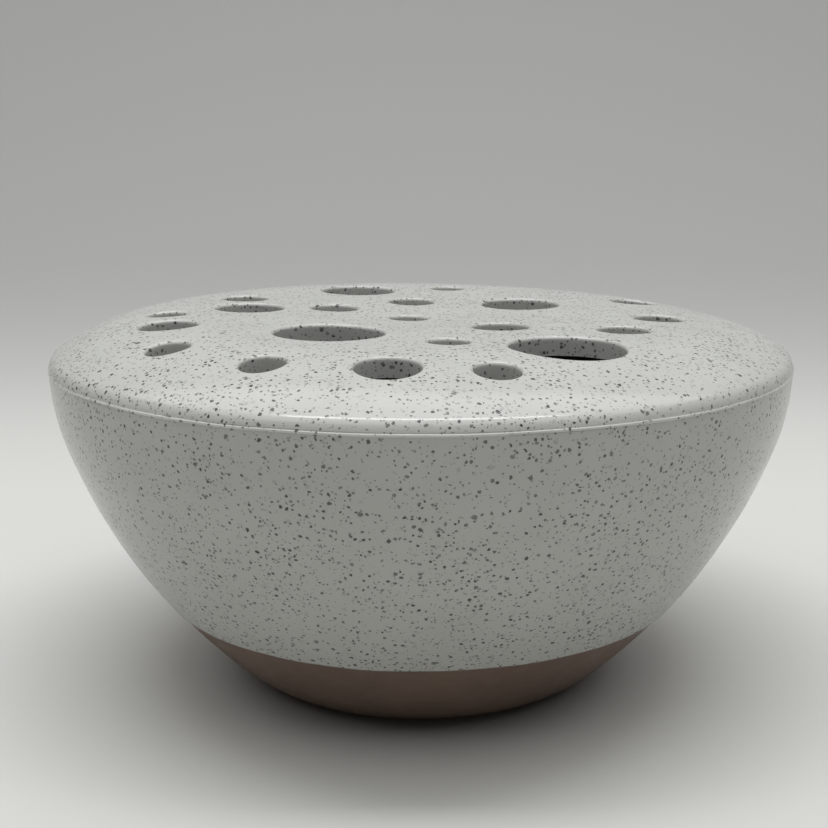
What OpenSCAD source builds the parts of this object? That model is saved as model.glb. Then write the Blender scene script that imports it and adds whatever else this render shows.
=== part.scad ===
// Flower frog: a closed stoneware vase whose flat top is pierced with stem holes.
// The bowl and the pierced top are two clay pieces luted together with slip and glazed as one.
// Origin: centre of the foot on the table. +Z is up. +Y points away from the front of the vase.
// Every surface of revolution is a chain of tangent arcs, and each layer is the same chain moved inward.

/* [Body] */
// Widest diameter, measured over the glaze
body_d = 178; // [140:1:240]
// Height of the widest line, where top and bowl are joined
belly_z = 79; // [60:0.5:110]
// Thickness of the clay wall
clay_t = 3.5; // [2.5:0.5:7]
// Thickness of one glaze coat
skin = 0.5; // [0.3:0.1:1]

/* [Pierced top] */
// Radius of the tight edge just above the widest line
edge_r = 3.5; // [2:0.5:8]
// Slope angle at which the edge hands over to the haunch, measured from level at the rim
edge_a = 57.5; // [45:0.5:75]
// Radius of the haunch that turns the top down into the edge
haunch_r = 45; // [25:1:80]
// Slope angle at which the haunch hands over to the wide brow
brow_a = 82.5; // [75:0.5:88]
// Radius of the wide brow round the flat middle
brow_r = 105; // [60:5:200]

/* [Bowl wall] */
// Radius of the wall just under the widest line
belly_r = 56; // [40:1:90]
// Angle below level at which the belly hands over to the flank
flank_a = 20; // [10:1:30]
// Radius of the long flank
flank_r = 140; // [100:5:220]
// Angle below level at which the flank hands over to the tuck
tuck_a = 47; // [35:1:60]
// Radius of the tuck that runs in to the foot
tuck_r = 30; // [15:1:60]

/* [Foot and floor] */
// Diameter of the foot on the table
foot_d = 76; // [50:1:110]
// Height of the upright foot under the tuck
foot_h = 1.5; // [0.5:0.5:4]
// Height of the clay floor inside, above the table
floor_z = 6; // [4:0.5:12]

/* [Glaze and joint] */
// Height of the dip line, where the outer glaze stops
dip_z = 22; // [10:0.5:50]
// Thickness of the slip ring between bowl and top
slip_t = 0.8; // [0.4:0.1:2]
// How far the slip bead stands out of the glaze
bead = 0.3; // [0.1:0.1:1]

/* [Stem holes] */
// Diameter of the widest stem holes, inside their glaze
hole_xl = 25; // [18:0.5:32]
// Diameter of the large stem holes
hole_l = 20; // [16:0.5:28]
// Diameter of the one middle-sized stem hole
hole_m = 17; // [12:0.5:20]
// Diameter of the medium stem holes
hole_s = 13.5; // [9:0.5:16]
// Diameter of the small stem holes
hole_xs = 12; // [7:0.5:14]
// Diameter of the smallest stem holes
hole_xxs = 9.5; // [5:0.5:12]
// Arc steps on each tight curve
steps = 8; // [4:1:16]

/* [Hidden] */
$fn = 96;
body_r = body_d / 2;
foot_r = foot_d / 2;
joint = slip_t / 2;
under = skin + clay_t;
inside = under + skin;

// Stem holes as [x, y, diameter], front row first
holes = [
  [-31.5, -64, hole_xxs],
  [-6.5, -68, hole_s],
  [15, -69, hole_xxs],
  [-53.5, -47, hole_xxs],
  [31, -47, hole_xl],
  [6, -42.5, hole_xxs],
  [-20.5, -31, hole_xl],
  [-58, -22.5, hole_s],
  [46.5, -23, hole_xs],
  [18.5, -19, hole_s],
  [-61.5, -5.5, hole_xxs],
  [58, -3.5, hole_xs],
  [-3, -3, hole_xxs],
  [-43, 6.5, hole_m],
  [-22, 10, hole_xs],
  [26, 20, hole_l],
  [-46.5, 24.5, hole_xs],
  [-2.5, 23.5, hole_xs],
  [57, 28, hole_xs],
  [-17.5, 44, hole_l],
  [7.5, 51, hole_xxs],
];

function heading(a) = [cos(a), sin(a)];
function sweep(c, r, a0, a1, n) = [for (i = [0 : n]) c + r * heading(a0 + (a1 - a0) * i / n)];
function at_z(p, q, z) = p + (q - p) * (z - p[1]) / (q[1] - p[1]);
function back(list) = [for (i = [len(list) - 1 : -1 : 0]) list[i]];
function tail(list) = [for (i = [1 : len(list) - 1]) list[i]];

// Arc centres: each lies on the line through the last arc's end, so the curve has no kinks
edge_c = [body_r - edge_r, belly_z];
haunch_c = edge_c + (edge_r - haunch_r) * heading(edge_a);
brow_c = haunch_c + (haunch_r - brow_r) * heading(brow_a);
top_z = brow_c[1] + brow_r;
belly_c = [body_r - belly_r, belly_z];
flank_c = belly_c + (belly_r - flank_r) * heading(-flank_a);
tuck_c = flank_c + (flank_r - tuck_r) * heading(-tuck_a);

// Angle at which an arc round c reaches height z
function angle_at(c, r, z) = asin((z - c[1]) / r);

// Outer line of the top, moved inward by d, from the joint to the axis
function top_line(d) = concat(
  sweep(edge_c, edge_r - d, angle_at(edge_c, edge_r - d, belly_z + joint), edge_a, steps),
  tail(sweep(haunch_c, haunch_r - d, edge_a, brow_a, 6)),
  tail(sweep(brow_c, brow_r - d, brow_a, 90, 4)),
  [[0, top_z - d]]
);

// Outer line of the bowl, moved inward by d, from the joint down to angle a on the flank
function wall_line(d, a) = concat(
  sweep(belly_c, belly_r - d, angle_at(belly_c, belly_r - d, belly_z - joint), -flank_a, steps),
  tail(sweep(flank_c, flank_r - d, -flank_a, a, steps))
);
function dip_a(d, z) = angle_at(flank_c, flank_r - d, z);

// Lower wall below the flank, down to the top of the foot
tuck_line = tail(sweep(tuck_c, tuck_r - skin, -tuck_a, angle_at(tuck_c, tuck_r - skin, foot_h), steps));

// Inner corner under the shoulder: haunch end and belly start, moved inward by d
function corner_hi(d) = haunch_c + (haunch_r - d) * heading(64);
function corner_lo(d) = belly_c + (belly_r - d) * heading(-5);
function corner_at(d, z) = at_z(corner_hi(d), corner_lo(d), z);

// Inner line of the top from the joint to the axis, and of the bowl from the joint to the axis
function ceiling_line(d, z) = concat(
  [corner_at(d, z)],
  sweep(haunch_c, haunch_r - d, 64, brow_a, 4),
  tail(sweep(brow_c, brow_r - d, brow_a, 90, 2)),
  [[0, top_z - d]]
);
function basin_line(d, z) = concat(
  [corner_at(d, z)],
  sweep(belly_c, belly_r - d, -5, -flank_a, steps),
  tail(sweep(flank_c, flank_r - d, -flank_a, angle_at(flank_c, flank_r - d, floor_z + 6 + d - under), steps)),
  [[foot_r + 3 - d + under, floor_z + d - under], [0, floor_z + d - under]]
);

// Body turned from an outer line and an inner line
module turned(outer, inner) {
  rotate_extrude()
    polygon(concat(outer, back(inner)));
}

// Plugs where the stem holes go, wider than the finished hole by extra all round
module plugs(extra) {
  for (h = holes)
    translate([h[0], h[1], top_z - 12])
      cylinder(d = h[2] + 2 * extra, h = 20);
}

// Lower clay piece: foot, floor and flaring wall, bare below the dip line
module bowl() {
  color([0.40, 0.31, 0.25])
    turned(
      concat(wall_line(skin, -tuck_a), tuck_line, [[foot_r, foot_h], [foot_r, 0], [0, 0]]),
      basin_line(under, belly_z - joint)
    );
}

// Upper clay piece: the flat top and shoulder, with the stem holes
module pierced_top() {
  color([0.40, 0.31, 0.25])
    difference() {
      turned(top_line(skin), ceiling_line(under, belly_z + joint));
      plugs(skin);
    }
}

// Slip that lutes the two clay pieces, squeezed out into a thin raised line under the glaze
module joining_slip() {
  color([0.86, 0.87, 0.84])
    rotate_extrude()
      polygon([
        corner_at(under, belly_z - joint),
        [body_r, belly_z - joint],
        [body_r + bead, belly_z - joint / 2],
        [body_r + bead, belly_z + joint / 2],
        [body_r - 0.02, belly_z + joint],
        corner_at(under, belly_z + joint)
      ]);
}

// Outer glaze of the bowl, from the joint down to the dip line
module bowl_glaze() {
  color([0.80, 0.81, 0.78])
    turned(wall_line(0, dip_a(0, dip_z + skin / 2)), wall_line(skin, dip_a(skin, dip_z)));
}

// Outer glaze of the top and shoulder
module top_glaze() {
  color([0.84, 0.85, 0.82])
    difference() {
      turned(top_line(0), top_line(skin));
      plugs(skin);
    }
}

// Glaze that lines the wall of every stem hole
module hole_glaze() {
  color([0.78, 0.79, 0.76])
    intersection() {
      turned(top_line(0), ceiling_line(inside, belly_z + joint));
      difference() {
        plugs(skin);
        plugs(0);
      }
    }
}

// Liner that makes the vase hold water, on the floor, the wall and the underside of the top
module inner_glaze() {
  color([0.80, 0.81, 0.78])
    difference() {
      rotate_extrude()
        polygon(concat(
          back(tail(basin_line(under, belly_z))),
          tail(ceiling_line(under, belly_z)),
          back(tail(ceiling_line(inside, belly_z))),
          tail(basin_line(inside, belly_z))
        ));
      plugs(skin);
    }
}

bowl();
pierced_top();
joining_slip();
bowl_glaze();
top_glaze();
hole_glaze();
inner_glaze();
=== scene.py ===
import math

import bmesh
import bpy
import numpy as np
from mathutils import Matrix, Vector
from mathutils.geometry import delaunay_2d_cdt


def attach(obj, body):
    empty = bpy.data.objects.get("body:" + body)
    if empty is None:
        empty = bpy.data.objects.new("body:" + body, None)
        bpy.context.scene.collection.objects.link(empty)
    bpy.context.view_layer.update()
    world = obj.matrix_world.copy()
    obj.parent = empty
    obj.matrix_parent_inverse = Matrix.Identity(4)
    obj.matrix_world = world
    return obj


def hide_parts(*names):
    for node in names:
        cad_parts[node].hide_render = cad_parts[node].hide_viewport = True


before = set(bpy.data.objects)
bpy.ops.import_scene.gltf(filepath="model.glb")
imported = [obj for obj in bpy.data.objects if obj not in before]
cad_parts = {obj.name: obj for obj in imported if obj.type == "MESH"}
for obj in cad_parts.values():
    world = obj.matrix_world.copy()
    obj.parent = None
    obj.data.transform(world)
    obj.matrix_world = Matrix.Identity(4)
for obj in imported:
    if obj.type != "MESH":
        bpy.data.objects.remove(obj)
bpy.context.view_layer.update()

# ---------------------------------------------------------------- sizes, in millimetres as in the CAD source
BODY_R = 89.0
BELLY_Z = 79.0
SKIN, CLAY_T = 0.5, 3.5          # one glaze coat, the clay wall
FLOOR_Z = 6.0                    # clay floor inside, above the table
TOP_T = 4.5                      # top plate, both glaze coats included
EDGE_R, EDGE_A = 3.5, 57.5
HAUNCH_R, BROW_A, BROW_R = 45.0, 82.5, 105.0
BELLY_R, FLANK_A, FLANK_R, TUCK_A, TUCK_R = 56.0, 20.0, 140.0, 47.0, 30.0
FOOT_R, FOOT_H = 38.0, 1.5
DIP_Z = 22.0
JOINT = 0.4                      # half the thickness of the slip ring
GAP = 0.02                       # stops a glaze coat's back and the clay's face from coinciding
RIM = 0.9                        # softened edge of each stem hole
PLAN_R = 84.0                    # the top is meshed in plan out to here, and in rings beyond
HOLE_END = TOP_T - 0.1           # depth at which the glaze in a stem hole ends
DISH, DISH_R = 0.9, 22.0         # how far the middle of the top dips, and how wide the dip is
LOWER, LEAN = 0.70, 0.0115       # how far the fired top lies under the ideal one, and its slope to +X
XL, L, M, S, XS, XXS = 25.0, 20.0, 17.0, 13.5, 12.0, 9.5
HOLES = [
    (-31.5, -64, XXS), (-6.5, -68, S), (15, -69, XXS), (-53.5, -47, XXS), (31, -47, XL), (6, -42.5, XXS),
    (-20.5, -31, XL), (-58, -22.5, S), (46.5, -23, XS), (18.5, -19, S), (-61.5, -5.5, XXS), (58, -3.5, XS),
    (-3, -3, XXS), (-43, 6.5, M), (-22, 10, XS), (26, 20, L), (-46.5, 24.5, XS), (-2.5, 23.5, XS),
    (57, 28, XS), (-17.5, 44, L), (7.5, 51, XXS),
]


def heading(a):
    return np.array([math.cos(math.radians(a)), math.sin(math.radians(a))])


# Arc centres of the outer line, the same chain of tangent arcs as in the CAD
EDGE_C = np.array([BODY_R - EDGE_R, BELLY_Z])
HAUNCH_C = EDGE_C + (EDGE_R - HAUNCH_R) * heading(EDGE_A)
BROW_C = HAUNCH_C + (HAUNCH_R - BROW_R) * heading(BROW_A)
TOP_Z = BROW_C[1] + BROW_R
BELLY_C = np.array([BODY_R - BELLY_R, BELLY_Z])
FLANK_C = BELLY_C + (BELLY_R - FLANK_R) * heading(-FLANK_A)
TUCK_C = FLANK_C + (FLANK_R - TUCK_R) * heading(-TUCK_A)
BROW_END = BROW_C[0]
HAUNCH_END = HAUNCH_C[0] + HAUNCH_R * heading(BROW_A)[0]
EDGE_END = EDGE_C[0] + EDGE_R * heading(EDGE_A)[0]


def arc(c, r, a0, a1, n):
    return [c + r * heading(a0 + (a1 - a0) * i / n) for i in range(n + 1)]


def angle_at(c, r, z):
    return math.degrees(math.asin(max(-1.0, min(1.0, (z - c[1]) / r))))


def smooth(t):
    t = max(0.0, min(1.0, t))
    return t * t * (3 - 2 * t)


def crown_z(r, d):
    """Height of the top's outer surface moved inward by d, at radius r."""
    if r <= BROW_END:
        return TOP_Z - d
    if r <= HAUNCH_END - d * heading(BROW_A)[0]:
        return BROW_C[1] + math.sqrt((BROW_R - d) ** 2 - (r - BROW_C[0]) ** 2)
    if r <= EDGE_END - d * heading(EDGE_A)[0] or EDGE_R - d < 0.05:
        return HAUNCH_C[1] + math.sqrt(max(0.0, (HAUNCH_R - d) ** 2 - (r - HAUNCH_C[0]) ** 2))
    return EDGE_C[1] + math.sqrt(max(0.0, (EDGE_R - d) ** 2 - (r - EDGE_C[0]) ** 2))


def ripple(x, y, k):
    """Slow hand-made unevenness, a sum of a few waves, between about -1 and 1."""
    return (math.sin(0.083 * x + 0.041 * y + k) + math.sin(0.037 * x - 0.096 * y + 2.1 * k)
            + math.sin(0.151 * x + 0.117 * y + 0.7 * k)) / 3


def sag(x, y):
    """How the fired top departs from the ideal surface: it dips in the middle and leans down to +X."""
    r = math.hypot(x, y)
    w = smooth((88.0 - r) / 16.0)
    level = -LOWER - LEAN * x + 0.10 * ripple(x, y, 1.3)
    return -DISH * math.exp(-(r / DISH_R) ** 2) + w * level


# ---------------------------------------------------------------- mesh helpers
def make_object(name, verts, faces, mats, smooth_angle=None):
    mesh = bpy.data.meshes.new(name)
    mesh.from_pydata([tuple(0.001 * c for c in v) for v in verts], [], faces)
    mesh.validate()
    bm = bmesh.new()
    bm.from_mesh(mesh)
    bmesh.ops.recalc_face_normals(bm, faces=bm.faces)
    bm.to_mesh(mesh)
    bm.free()
    mesh.polygons.foreach_set("use_smooth", [True] * len(mesh.polygons))
    obj = bpy.data.objects.new(name, mesh)
    bpy.context.scene.collection.objects.link(obj)
    for m in mats:
        mesh.materials.append(m)
    if smooth_angle:
        mesh.set_sharp_from_angle(angle=math.radians(smooth_angle))
    mesh.update()
    return obj


def revolve(name, loop, mats, n=360, wobble=None, smooth_angle=40):
    """Closed solid from a closed (r, z) loop turned about Z; loop points on the axis close it there."""
    verts, faces, rows = [], [], []
    for r, z in loop:
        if r < 1e-6:
            rows.append([len(verts)])
            verts.append((0.0, 0.0, z))
            continue
        rows.append(list(range(len(verts), len(verts) + n)))
        for i in range(n):
            a = 2 * math.pi * i / n
            dr, dz = wobble(a, r, z) if wobble else (0.0, 0.0)
            verts.append(((r + dr) * math.cos(a), (r + dr) * math.sin(a), z + dz))
    for k in range(len(loop)):
        p, q = rows[k], rows[(k + 1) % len(loop)]
        if len(p) == 1 and len(q) == 1:
            continue
        for i in range(n):
            j = (i + 1) % n
            if len(p) == 1:
                faces.append((p[0], q[i], q[j]))
            elif len(q) == 1:
                faces.append((p[i], q[0], p[j]))
            else:
                faces.append((p[i], q[i], q[j], p[j]))
    return make_object(name, verts, faces, mats, smooth_angle)


def plan_mesh(outer_r, grow, n_outer):
    """Triangulated disc in plan, with a round gap of the hole's radius plus grow at every stem hole."""
    pts, loops, edges = [], [], []

    def ring(cx, cy, r, n, off=0.0):
        start = len(pts)
        for i in range(n):
            a = 2 * math.pi * (i + off) / n
            pts.append(Vector((cx + r * math.cos(a), cy + r * math.sin(a))))
        return list(range(start, start + n))

    outer = ring(0, 0, outer_r, n_outer)
    edges += [(outer[i], outer[(i + 1) % n_outer]) for i in range(n_outer)]
    for x, y, d in HOLES:
        n = 96 if d > 15 else 64
        loop = ring(x, y, d / 2 + grow, n)
        loops.append(loop)
        edges += [(loop[i], loop[(i + 1) % n]) for i in range(n)]
        for k in (1, 2):
            ring(x, y, d / 2 + grow + 0.7 * k, n, 0.5 * (k % 2))
    step = 2.2
    rows = int(outer_r / step) + 2
    for j in range(-rows, rows + 1):
        for i in range(-rows, rows + 1):
            x = (i + 0.5 * (j % 2)) * step
            y = j * step * 0.866
            if math.hypot(x, y) > outer_r - 0.9:
                continue
            if min(math.hypot(x - hx, y - hy) - hd / 2 for hx, hy, hd in HOLES) > grow + 2.4:
                pts.append(Vector((x, y)))
    co, _, tri, origin, _, _ = delaunay_2d_cdt(pts, edges, [], 0, 1e-5)
    new = {o: i for i, olds in enumerate(origin) for o in olds}
    faces = []
    for f in tri:
        c = sum((co[i] for i in f), Vector((0, 0))) / len(f)
        if math.hypot(c.x, c.y) > outer_r:
            continue
        if any(math.hypot(c.x - hx, c.y - hy) < hd / 2 + grow - 1e-3 for hx, hy, hd in HOLES):
            continue
        faces.append(tuple(f))
    return co, faces, [new[i] for i in outer], [[new[i] for i in lp] for lp in loops]


def top_side(verts, faces, d, widen, rim, wall_to):
    """One surface of the top, moved inward by d, from the joint to the rims of the stem holes.

    With wall_to, each rim is rounded over and its wall runs down to that depth."""
    n_out = 360

    def height(x, y):
        return crown_z(math.hypot(x, y), d) + sag(x, y)

    co, tris, outer, loops = plan_mesh(PLAN_R, widen + rim, n_out)
    base = len(verts)
    verts.extend((p.x, p.y, height(p.x, p.y)) for p in co)
    faces.extend(tuple(base + i for i in f) for f in tris)
    last = [base + i for i in outer]
    end = EDGE_END - d * heading(EDGE_A)[0]
    line = [(r, crown_z(r, d)) for r in np.linspace(PLAN_R, end, 5)[1:-1]]
    low = angle_at(EDGE_C, EDGE_R - d, BELLY_Z + JOINT)
    line += [tuple(p) for p in arc(EDGE_C, EDGE_R - d, EDGE_A, low, 14)]
    for r, z in line:
        row = []
        for i in range(n_out):
            a = 2 * math.pi * i / n_out
            x, y = r * math.cos(a), r * math.sin(a)
            row.append(len(verts))
            verts.append((x, y, z + sag(x, y)))
        bridge(faces, last, row)
        last = row
    ends = []
    for (hx, hy, hd), loop in zip(HOLES, loops):
        prev = [base + i for i in loop]
        n = len(prev)
        steps = []
        if wall_to:
            turn = np.linspace(0, math.pi / 2, 9)[1:]
            steps = [(rim * (1 - math.sin(t)), rim * (1 - math.cos(t))) for t in turn]
            steps += [(0.0, dep) for dep in np.linspace(rim, wall_to, 6)[1:]]
        for off, down in steps:
            row = []
            for i in range(n):
                a = 2 * math.pi * i / n
                x = hx + (hd / 2 + widen + off) * math.cos(a)
                y = hy + (hd / 2 + widen + off) * math.sin(a)
                row.append(len(verts))
                verts.append((x, y, height(x, y) - down))
            bridge(faces, prev, row)
            prev = row
        ends.append(prev)
    return last, ends


def bridge(faces, p, q):
    n = len(p)
    faces.extend((p[i], p[(i + 1) % n], q[(i + 1) % n], q[i]) for i in range(n))


def pierced_shell(name, mats, outer, inner):
    """Closed solid between two sides of the top."""
    verts, faces = [], []
    seam_a, ends_a = top_side(verts, faces, *outer)
    seam_b, ends_b = top_side(verts, faces, *inner)
    bridge(faces, seam_a, seam_b)
    for p, q in zip(ends_a, ends_b):
        bridge(faces, p, q)
    return make_object(name, verts, faces, mats, 50)


# ---------------------------------------------------------------- shader helpers
class Nodes:
    def __init__(self, name):
        self.mat = bpy.data.materials.new(name)
        self.mat.use_nodes = True
        self.tree = self.mat.node_tree
        self.tree.nodes.clear()
        self.out = self.add("ShaderNodeOutputMaterial")
        self.bsdf = self.add("ShaderNodeBsdfPrincipled")
        self.link(self.bsdf.outputs[0], self.out.inputs["Surface"])
        self.coord = self.add("ShaderNodeTexCoord").outputs["Object"]

    def add(self, kind, **props):
        node = self.tree.nodes.new(kind)
        for k, v in props.items():
            setattr(node, k, v)
        return node

    def link(self, a, b):
        self.tree.links.new(a, b)

    def put(self, socket, value):
        if isinstance(value, bpy.types.NodeSocket):
            self.link(value, socket)
        else:
            socket.default_value = value

    def math(self, op, a, b=0.0, c=0.0):
        node = self.add("ShaderNodeMath", operation=op)
        for i, v in enumerate((a, b, c)):
            self.put(node.inputs[i], v)
        return node.outputs[0]

    def remap(self, v, a, b, c=0.0, d=1.0, kind="SMOOTHSTEP"):
        node = self.add("ShaderNodeMapRange", interpolation_type=kind)
        for i, x in enumerate((v, a, b, c, d)):
            self.put(node.inputs[i], x)
        return node.outputs[0]

    def noise(self, scale, detail=2.0, rough=0.5, coord=None, seed=0.0):
        node = self.add("ShaderNodeTexNoise", noise_dimensions="4D")
        self.link(coord or self.coord, node.inputs["Vector"])
        node.inputs["Scale"].default_value = scale
        node.inputs["Detail"].default_value = detail
        node.inputs["Roughness"].default_value = rough
        node.inputs["W"].default_value = seed
        return node

    def mix(self, fac, a, b):
        node = self.add("ShaderNodeMix", data_type="RGBA")
        self.put(node.inputs["Factor"], fac)
        self.put(node.inputs[6], a)
        self.put(node.inputs[7], b)
        return node.outputs[2]

    def rough(self, value):
        self.link(value, self.bsdf.inputs["Roughness"])

    def bump(self, height, strength, distance):
        node = self.add("ShaderNodeBump")
        node.inputs["Strength"].default_value = strength
        node.inputs["Distance"].default_value = distance
        self.link(height, node.inputs["Height"])
        self.link(node.outputs[0], self.bsdf.inputs["Normal"])

    def warped(self, amount, scale, seed):
        """Object coordinates shaken by fine noise, in metres."""
        n = self.noise(scale, 2.0, 0.6, seed=seed).outputs["Color"]
        v = self.add("ShaderNodeVectorMath", operation="SUBTRACT")
        self.link(n, v.inputs[0])
        v.inputs[1].default_value = (0.5, 0.5, 0.5)
        w = self.add("ShaderNodeVectorMath", operation="SCALE")
        self.link(v.outputs[0], w.inputs[0])
        w.inputs["Scale"].default_value = amount
        s = self.add("ShaderNodeVectorMath", operation="ADD")
        self.link(w.outputs[0], s.inputs[0])
        self.link(self.coord, s.inputs[1])
        return s.outputs[0]

    def specks(self, coord, cell, small, large, share, soft, shift=0.0):
        """Scattered grains. Cell size, grain radii and edge softness are in millimetres.

        share is the part of the cells that hold a grain."""
        mapping = self.add("ShaderNodeMapping")
        self.link(coord, mapping.inputs["Vector"])
        mapping.inputs["Location"].default_value = (shift, 0.7 * shift, -shift)
        vor = self.add("ShaderNodeTexVoronoi", voronoi_dimensions="3D", feature="F1")
        self.link(mapping.outputs[0], vor.inputs["Vector"])
        vor.inputs["Scale"].default_value = 1000.0 / cell
        rgb = self.add("ShaderNodeSeparateColor")
        self.link(vor.outputs["Color"], rgb.inputs[0])
        size = self.math("POWER", rgb.outputs[0], 1.3)
        radius = self.remap(size, 0.0, 1.0, small / cell, large / cell, "LINEAR")
        gap = self.math("SUBTRACT", vor.outputs["Distance"], radius)
        disc = self.remap(gap, -soft / cell, soft / cell, 1.0, 0.0)
        here = self.math("LESS_THAN", rgb.outputs[1], share)
        strength = self.remap(rgb.outputs[2], 0.0, 1.0, 0.62, 1.0, "LINEAR")
        return self.math("MULTIPLY", self.math("MULTIPLY", disc, here), strength)


def glaze(name, base, base_2, amount=1.0, rough=0.16):
    n = Nodes(name)
    fine = n.warped(0.0011, 900.0, 3.0)
    wide = n.noise(70.0, 3.0, 0.6, seed=1.0).outputs["Fac"]
    crowd = n.remap(wide, 0.36, 0.64, 0.55 * amount, 1.0 * amount)
    black = n.specks(fine, 1.2, 0.20, 0.42, crowd, 0.06)
    tiny = n.specks(fine, 0.85, 0.10, 0.24, crowd, 0.06, 0.031)
    big = n.specks(fine, 4.6, 0.42, 0.66, n.math("MULTIPLY", crowd, 0.25), 0.10, 0.057)
    grey = n.specks(fine, 2.0, 0.25, 0.55, crowd, 0.20, 0.083)
    clouds = n.noise(55.0, 3.0, 0.55, seed=5.0).outputs["Fac"]
    mottled = n.mix(n.remap(clouds, 0.3, 0.7), base, base_2)
    col = n.mix(n.math("MULTIPLY", grey, 0.34), mottled, (0.17, 0.175, 0.165, 1))
    col = n.mix(n.math("MULTIPLY", tiny, 0.80), col, (0.07, 0.072, 0.068, 1))
    dark = n.math("MAXIMUM", black, big)
    col = n.mix(n.math("MULTIPLY", dark, 0.93), col, (0.018, 0.019, 0.019, 1))
    n.link(col, n.bsdf.inputs["Base Color"])
    sheen = n.noise(120.0, 2.0, 0.5, seed=7.0).outputs["Fac"]
    n.rough(n.remap(sheen, 0.3, 0.7, rough, rough + 0.06))
    n.bsdf.inputs["IOR"].default_value = 1.5
    peel = n.noise(260.0, 2.0, 0.5, seed=9.0).outputs["Fac"]
    height = n.math("ADD", n.math("MULTIPLY", peel, 0.5), n.math("MULTIPLY", dark, -0.25))
    n.bump(height, 0.12, 0.0003)
    return n.mat


def clay(name, base, base_2):
    n = Nodes(name)
    mott = n.remap(n.noise(45.0, 4.0, 0.6, seed=2.0).outputs["Fac"], 0.3, 0.7)
    col = n.mix(mott, base, base_2)
    grains = n.specks(n.warped(0.0006, 1200.0, 4.0), 1.3, 0.05, 0.2, 0.35, 0.08, 0.02)
    col = n.mix(n.math("MULTIPLY", grains, 0.45), col, (0.045, 0.03, 0.022, 1))
    n.link(col, n.bsdf.inputs["Base Color"])
    sheen = n.noise(200.0, 3.0, 0.6, seed=6.0).outputs["Fac"]
    n.rough(n.remap(sheen, 0.3, 0.7, 0.48, 0.62))
    n.bump(n.noise(1500.0, 3.0, 0.6, seed=8.0).outputs["Fac"], 0.25, 0.0002)
    return n.mat


WHITE = (0.545, 0.55, 0.52, 1)
WHITE_2 = (0.52, 0.525, 0.495, 1)
# The wall's glaze is the dome's white glaze made darker: painted shade for the wall, which faces down and away
# from the light above.
WALL_PAINTED_SHADE = (0.475, 0.48, 0.452, 1)
WALL_PAINTED_SHADE_2 = (0.45, 0.455, 0.427, 1)
m_dome = glaze("dome_glaze", WHITE, WHITE_2)
# Same glaze as on the dome, with painted shade in its colour.
m_wall_painted_shade = glaze("wall_glaze", WALL_PAINTED_SHADE, WALL_PAINTED_SHADE_2)
# Lighter than the dome's glaze: a painted highlight along the raised line of slip, which carries the same glaze.
m_slip_painted_highlight = glaze("slip_glaze_painted_highlight", (0.60, 0.61, 0.58, 1), WHITE, 0.8)
m_clay = clay("bare_clay", (0.165, 0.112, 0.082, 1), (0.135, 0.09, 0.066, 1))
m_core = clay("covered_clay", (0.15, 0.10, 0.075, 1), (0.12, 0.08, 0.06, 1))
m_liner = glaze("clear_liner", (0.075, 0.055, 0.042, 1), (0.055, 0.04, 0.03, 1), 0.5, 0.2)

# ---------------------------------------------------------------- the top: glaze coat over a clay plate
top_glaze = pierced_shell("top_glaze_coat", [m_dome],
                          (0.0, 0.0, RIM, HOLE_END), (SKIN, SKIN, RIM - SKIN, HOLE_END - SKIN))
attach(top_glaze, "root")
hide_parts("top_glaze", "hole_glaze")

top_clay = pierced_shell("pierced_clay_top", [m_core],
                         (SKIN + GAP, SKIN + GAP, RIM - SKIN, TOP_T - SKIN - 0.9),
                         (TOP_T - SKIN, SKIN + GAP, 0.0, None))
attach(top_clay, "root")
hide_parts("pierced_top")


# ---------------------------------------------------------------- the raised line of slip at the joint
def wavy(a, k):
    return (math.sin(5 * a + k) + 0.7 * math.sin(11 * a + 2.3 * k) + 0.5 * math.sin(23 * a + 0.4 * k)) / 2.2


def slip_wobble(a, r, z):
    if r < BODY_R - 0.2:
        return 0.0, 0.0
    return 0.06 * wavy(a, 0.3), 0.13 * wavy(a, 1.1)


FLUSH_R = BODY_R - 0.06          # the ring lies a hair under the glaze, so a faint groove shows beside the bead
SLIP_IN = BODY_R - 4.0           # inner edge of the ring
bead = [(SLIP_IN, BELLY_Z - 0.45), (FLUSH_R, BELLY_Z - 0.5)]
bead += [(FLUSH_R + 0.27 * math.cos(t), BELLY_Z - 0.1 + 0.32 * math.sin(t))
         for t in np.linspace(-1.45, 1.45, 13)]
bead += [(FLUSH_R, BELLY_Z + 0.5), (SLIP_IN, BELLY_Z + 0.45)]
slip = revolve("joining_slip_line", bead, [m_slip_painted_highlight], 540, slip_wobble, 60)
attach(slip, "root")
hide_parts("joining_slip")


# ---------------------------------------------------------------- the bowl: glaze above the dip line, clay below
def wall_points(d, z0, z1, n):
    """Points of the wall moved inward by d, from height z0 down to z1."""
    out = []
    for z in np.linspace(z0, z1, n):
        a = angle_at(BELLY_C, BELLY_R - d, z)
        if a > -FLANK_A:
            out.append((BELLY_C[0] + (BELLY_R - d) * math.cos(math.radians(a)), z))
        else:
            a = angle_at(FLANK_C, FLANK_R - d, z)
            out.append((FLANK_C[0] + (FLANK_R - d) * math.cos(math.radians(a)), z))
    return out


def wall_shift(a, r, z):
    """How far the wall departs from the ideal line; it fades out at the joint."""
    uneven = ripple(r * math.cos(a), r * math.sin(a) + 1.7 * z, 4.0)
    return smooth((BELLY_Z - z) / 6.0) * (0.10 * uneven - 0.1)


def wall_wobble(a, r, z):
    near_dip = smooth((30.0 - z) / 8.0)
    return wall_shift(a, r, z), near_dip * 0.16 * wavy(a, 2.2)


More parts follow.
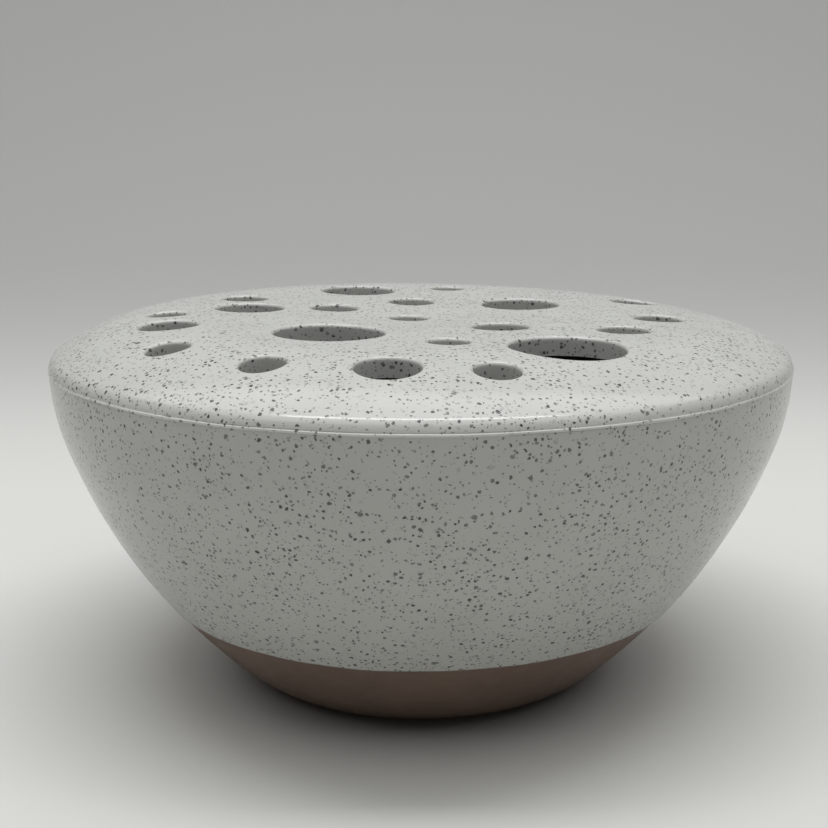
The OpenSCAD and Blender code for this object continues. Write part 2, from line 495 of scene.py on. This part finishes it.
outer = wall_points(0.0, BELLY_Z - JOINT, DIP_Z + 1.1, 46)
end_r, end_z = outer[-1]
lip = [(end_r - 0.5 * SKIN * (1 - math.cos(t)) - 0.75 * t / 1.6, end_z - 0.75 * math.sin(t))
       for t in (0.5, 1.0, 1.35)]
inner = wall_points(SKIN + GAP, DIP_Z, BELLY_Z - JOINT, 40)
bowl_glaze = revolve("bowl_glaze_coat", outer + lip + inner, [m_wall_painted_shade], 420, wall_wobble, 60)
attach(bowl_glaze, "root")
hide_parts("bowl_glaze")


def clay_wobble(a, r, z):
    on_table = z < 0.01
    return (0.0 if on_table else wall_shift(a, r, z)), 0.0


tuck_end = angle_at(TUCK_C, TUCK_R - SKIN, FOOT_H + 0.35)
foot = [tuple(p) for p in arc(TUCK_C, TUCK_R - SKIN, -TUCK_A, tuck_end, 16)]
flank_end = FLANK_C[1] + (FLANK_R - SKIN) * heading(-TUCK_A)[1]
clay_out = wall_points(SKIN, BELLY_Z - JOINT, flank_end, 60)[:-1] + foot
r_end = foot[-1][0]
clay_out += [(r_end - 0.35, FOOT_H + 0.05), (r_end - 0.9, FOOT_H), (FOOT_R + 0.5, FOOT_H),
             (FOOT_R + 0.12, FOOT_H - 0.25), (FOOT_R, FOOT_H - 0.6),
             (FOOT_R, 0.3), (FOOT_R - 0.3, 0.0), (0.0, 0.0)]
clay_in = [(0.0, FLOOR_Z), (FOOT_R + 2.5, FLOOR_Z)] + wall_points(SKIN + CLAY_T, 11.5, BELLY_Z - JOINT, 30)
bowl_clay = revolve("clay_bowl", clay_out + clay_in, [m_clay], 420, clay_wobble, 40)
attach(bowl_clay, "root")
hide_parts("bowl")

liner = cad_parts["inner_glaze"]
liner.data.materials.clear()
liner.data.materials.append(m_liner)

# ---------------------------------------------------------------- floor that sweeps up behind, light, camera
def paper_painted_falloff():
    n = Nodes("paper_painted_falloff")
    tone = n.remap(n.noise(3.0, 2.0, 0.5, seed=11.0).outputs["Fac"], 0.3, 0.7)
    col = n.mix(tone, (0.66, 0.66, 0.64, 1), (0.65, 0.65, 0.63, 1))
    xyz = n.add("ShaderNodeSeparateXYZ")
    n.link(n.coord, xyz.inputs[0])
    # The sweep darkens towards the back and up the rise: painted shade for the light falling off there.
    far = n.remap(xyz.outputs[1], 0.15, 0.62, 0.0, 1.0)
    n.link(n.mix(far, col, (0.425, 0.43, 0.415, 1)), n.bsdf.inputs["Base Color"])
    n.bsdf.inputs["Roughness"].default_value = 0.75
    n.bsdf.inputs["Specular IOR Level"].default_value = 0.25
    return n.mat


REACH = 2600.0                   # how far the sweep runs to the front and the sides
BEND_Y, BEND_R = 330.0, 900.0    # where it starts to rise, and how gently
line = [(-REACH, 0.0), (BEND_Y, 0.0)]
line += [(BEND_Y + BEND_R * math.sin(t), BEND_R * (1 - math.cos(t)))
         for t in np.linspace(0, math.pi / 2, 49)[1:]]
line += [(BEND_Y + BEND_R, 2400.0)]
verts = []
for y, z in line:
    verts += [(-REACH, y, z - 0.05), (REACH, y, z - 0.05)]
faces = [(2 * i, 2 * i + 1, 2 * i + 3, 2 * i + 2) for i in range(len(line) - 1)]
floor = make_object("floor", verts, faces, [paper_painted_falloff()])


def area(name, size, place, aim, power, size_y):
    lamp = bpy.data.lights.new(name, "AREA")
    lamp.shape = "RECTANGLE"
    lamp.size = size
    lamp.size_y = size_y
    lamp.energy = power
    obj = bpy.data.objects.new(name, lamp)
    obj.location = place
    obj.rotation_mode = "QUATERNION"
    obj.rotation_quaternion = (Vector(aim) - Vector(place)).to_track_quat("-Z", "Y")
    bpy.context.scene.collection.objects.link(obj)


area("ceiling", 2.9, (0.0, -0.12, 1.35), (0.0, -0.12, 0.0), 27.0, 2.2)
area("window", 0.9, (0.0, -0.12, 1.0), (0.0, -0.12, 0.0), 4.4, 0.15)

world = bpy.data.worlds.new("world")
bpy.context.scene.world = world
world.use_nodes = True
background = world.node_tree.nodes["Background"]
background.inputs["Color"].default_value = (0.96, 0.97, 0.95, 1)
background.inputs["Strength"].default_value = 0.06
bpy.context.scene.view_settings.view_transform = "Standard"

cam = bpy.data.cameras.new("camera")
cam.sensor_width = 36.0
cam.lens = 56.92
cam.shift_x = -0.00837
cam.clip_start, cam.clip_end = 0.01, 20.0
camera = bpy.data.objects.new("camera", cam)
camera.location = (0.0, -0.3204, 0.1341)
camera.rotation_euler = (math.pi / 2 - 0.2175, 0.0, 0.0)
bpy.context.scene.collection.objects.link(camera)
bpy.context.scene.camera = camera
